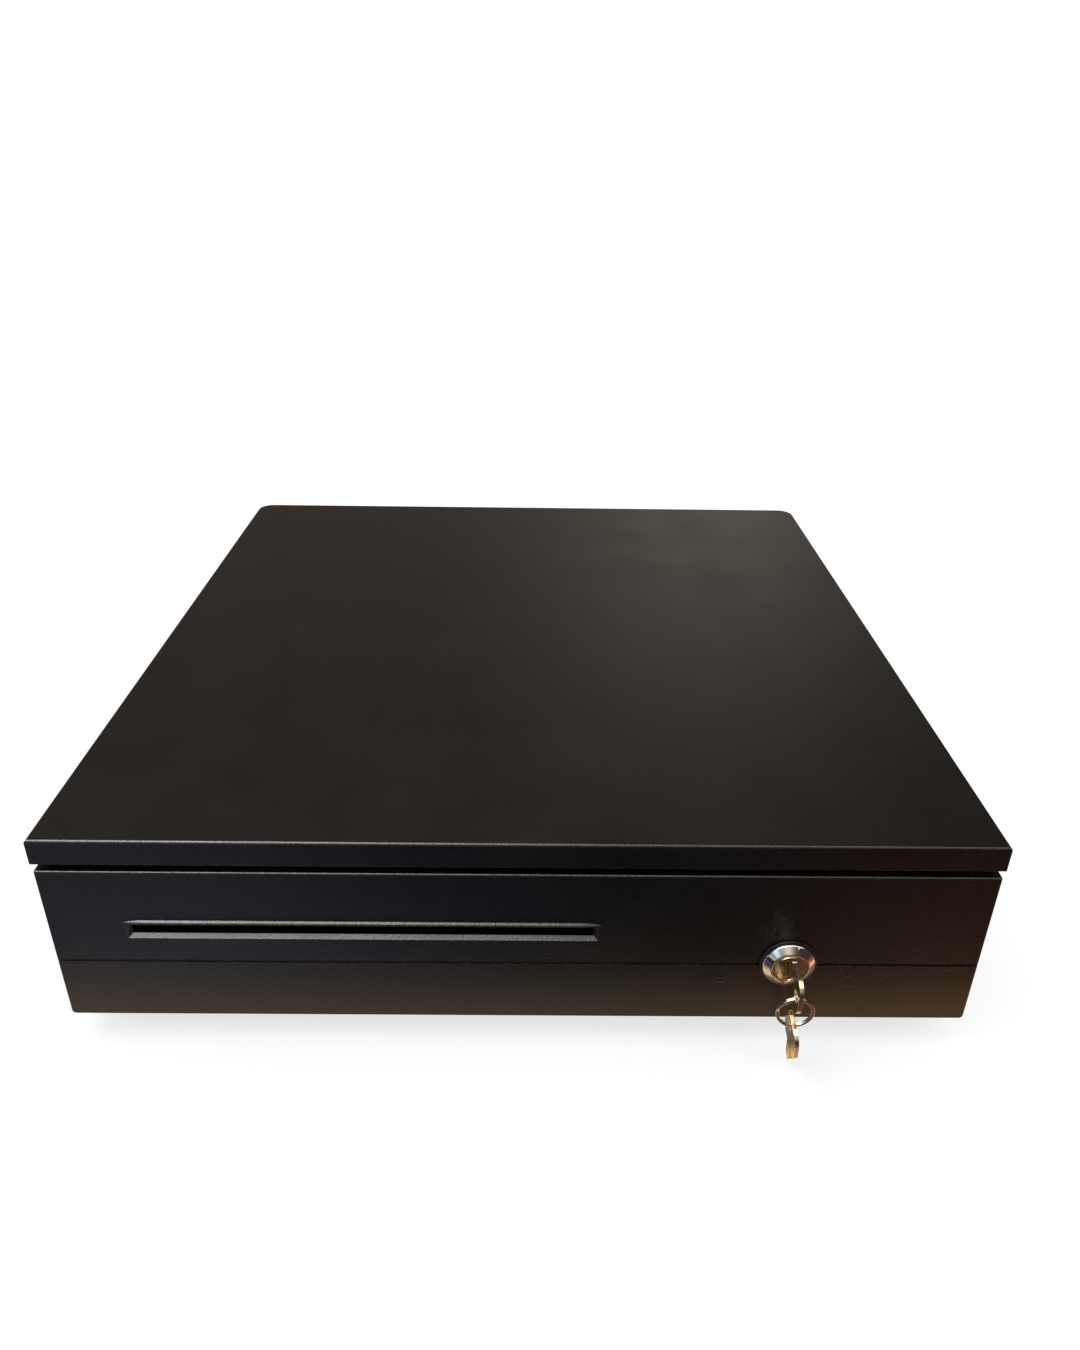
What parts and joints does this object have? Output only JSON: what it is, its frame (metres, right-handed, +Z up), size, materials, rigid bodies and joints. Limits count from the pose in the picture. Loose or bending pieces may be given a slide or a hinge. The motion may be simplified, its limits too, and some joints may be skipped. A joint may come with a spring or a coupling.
{
  "type": "cash drawer",
  "caption": "Low black steel cash drawer with a cheque slot, key lock, roller slides, till with sprung note clips and an electric latch.",
  "frame": {"origin": "centre of the whole footprint, keys and screw heads included, on the surface that the feet stand on", "axes": "+Z up, +Y from the front panel to the back, +X to the right as seen from the front"},
  "size_m": [0.41, 0.4444, 0.114],
  "materials": {
    "coat": "satin fine-texture black powder coat",
    "zinc": "zinc plated",
    "steel": "bright",
    "chrome": "polished",
    "key": "nickel plated brass, worn",
    "rubber": "matte",
    "nylon": "satin",
    "till_plastic": "moulded, fine grain",
    "black_plastic": "satin",
    "coil_tape": "wound tape"
  },
  "bodies": {
    "case": {"cover": "coat", "base_pan": "coat", "cover_screw_1": "zinc", "cover_screw_2": "zinc", "cover_screw_3": "zinc", "cover_screw_4": "zinc", "foot_front_left": "rubber", "foot_rear_left": "rubber", "foot_front_right": "rubber", "foot_rear_right": "rubber", "lock_catch": "zinc", "case_rail_left": "zinc", "case_roller_left_axle": "zinc", "ejector_post_left": "zinc", "ejector_spring_left": "steel", "case_rail_right": "zinc", "case_roller_right_axle": "zinc", "ejector_post_right": "zinc", "ejector_spring_right": "steel", "latch_bracket": "zinc", "latch_pin": "steel", "solenoid_frame": "zinc", "solenoid_coil": "coil_tape", "rear_jack": "black_plastic", "solenoid_lead": "black_plastic"},
    "drawer": {"front_panel": "coat", "drawer_tray": "coat", "till": "till_plastic", "coin_tray": "till_plastic", "clip_rod": "zinc", "cheque_chute": "zinc", "drawer_striker": "zinc", "lock_washer": "black_plastic", "lock_barrel": "chrome", "lock_nut": "zinc", "panel_bracket_left": "zinc", "drawer_rail_left": "zinc", "drawer_roller_left_axle": "zinc", "till_ledge_left": "zinc", "panel_bracket_right": "zinc", "drawer_rail_right": "zinc", "drawer_roller_right_axle": "zinc", "till_ledge_right": "zinc"},
    "lock_plug": {"lock_plug": "chrome", "lock_cam": "zinc", "cam_screw": "zinc"},
    "key_1": {"key_1": "key"},
    "key_ring": {"key_ring": "chrome"},
    "key_2": {"key_2": "key"},
    "latch_hook": {"latch_hook": "steel"},
    "solenoid_plunger": {"solenoid_plunger": "steel"},
    "case_roller_left": {"case_roller_left": "nylon"},
    "drawer_roller_left": {"drawer_roller_left": "nylon"},
    "case_roller_right": {"case_roller_right": "nylon"},
    "drawer_roller_right": {"drawer_roller_right": "nylon"},
    "note_clip_1": {"note_clip_1": "till_plastic"},
    "note_clip_2": {"note_clip_2": "till_plastic"},
    "note_clip_3": {"note_clip_3": "till_plastic"},
    "note_clip_4": {"note_clip_4": "till_plastic"},
    "note_clip_5": {"note_clip_5": "till_plastic"}
  },
  "joints": [
    {"name": "drawer_slide", "type": "slide", "parent": "case", "child": "drawer", "axis": [0, -1, 0], "range_m": [0, 0.3]},
    {"name": "case_roller_left_spin", "type": "hinge", "parent": "case", "child": "case_roller_left", "pos_m": [-0.1944, -0.1687, 0.0569], "axis": [1, 0, 0], "range_deg": [0, 2300]},
    {"name": "drawer_roller_left_spin", "type": "hinge", "parent": "drawer", "child": "drawer_roller_left", "pos_m": [-0.1944, 0.1693, 0.0531], "axis": [1, 0, 0], "range_deg": [0, 2300]},
    {"name": "case_roller_right_spin", "type": "hinge", "parent": "case", "child": "case_roller_right", "pos_m": [0.1944, -0.1687, 0.0569], "axis": [1, 0, 0], "range_deg": [0, 2300]},
    {"name": "drawer_roller_right_spin", "type": "hinge", "parent": "drawer", "child": "drawer_roller_right", "pos_m": [0.1944, 0.1693, 0.0531], "axis": [1, 0, 0], "range_deg": [0, 2300]},
    {"name": "lock_turn", "type": "hinge", "parent": "drawer", "child": "lock_plug", "pos_m": [0.1193, -0.1947, 0.0492], "axis": [0, 1, 0], "range_deg": [0, 90]},
    {"name": "key_1_pull", "type": "slide", "parent": "lock_plug", "child": "key_1", "axis": [0, -1, 0], "range_m": [0, 0.02]},
    {"name": "ring_swing", "type": "hinge", "parent": "key_1", "child": "key_ring", "pos_m": [0.1193, -0.2141, 0.04725], "axis": [1, 0, 0], "range_deg": [-30, 5]},
    {"name": "key_2_swing", "type": "hinge", "parent": "key_ring", "child": "key_2", "pos_m": [0.1193, -0.2141, 0.03185], "axis": [1, 0, 0], "range_deg": [-45, 3]},
    {"name": "latch_hook_hinge", "type": "hinge", "parent": "case", "child": "latch_hook", "pos_m": [0, 0.2093, 0.058], "axis": [1, 0, 0], "range_deg": [0, 14], "stiffness_Nm_per_rad": 0.0005, "springref_deg": -57.3},
    {"name": "plunger_slide", "type": "slide", "parent": "case", "child": "solenoid_plunger", "axis": [0, 0, -1], "range_m": [0, 0.0029], "stiffness_N_per_m": 5, "springref_m": -0.025},
    {"name": "note_clip_1_hinge", "type": "hinge", "parent": "drawer", "child": "note_clip_1", "pos_m": [-0.14672, 0.1663, 0.086], "axis": [-1, 0, 0], "range_deg": [0, 31], "stiffness_Nm_per_rad": 0.06, "springref_deg": -20.05},
    {"name": "note_clip_2_hinge", "type": "hinge", "parent": "drawer", "child": "note_clip_2", "pos_m": [-0.07336, 0.1663, 0.086], "axis": [-1, 0, 0], "range_deg": [0, 31], "stiffness_Nm_per_rad": 0.06, "springref_deg": -20.05},
    {"name": "note_clip_3_hinge", "type": "hinge", "parent": "drawer", "child": "note_clip_3", "pos_m": [0, 0.1663, 0.086], "axis": [-1, 0, 0], "range_deg": [0, 31], "stiffness_Nm_per_rad": 0.06, "springref_deg": -20.05},
    {"name": "note_clip_4_hinge", "type": "hinge", "parent": "drawer", "child": "note_clip_4", "pos_m": [0.07336, 0.1663, 0.086], "axis": [-1, 0, 0], "range_deg": [0, 31], "stiffness_Nm_per_rad": 0.06, "springref_deg": -20.05},
    {"name": "note_clip_5_hinge", "type": "hinge", "parent": "drawer", "child": "note_clip_5", "pos_m": [0.14672, 0.1663, 0.086], "axis": [-1, 0, 0], "range_deg": [0, 31], "stiffness_Nm_per_rad": 0.06, "springref_deg": -20.05}
  ],
  "couplings": [
    {"joint": "case_roller_left_spin", "follows": "drawer_slide", "rad_per_m": 133.33},
    {"joint": "drawer_roller_left_spin", "follows": "drawer_slide", "rad_per_m": 133.33},
    {"joint": "case_roller_right_spin", "follows": "drawer_slide", "rad_per_m": 133.33},
    {"joint": "drawer_roller_right_spin", "follows": "drawer_slide", "rad_per_m": 133.33},
    {"joint": "latch_hook_hinge", "follows": "plunger_slide", "rad_per_m": 83.333}
  ]
}
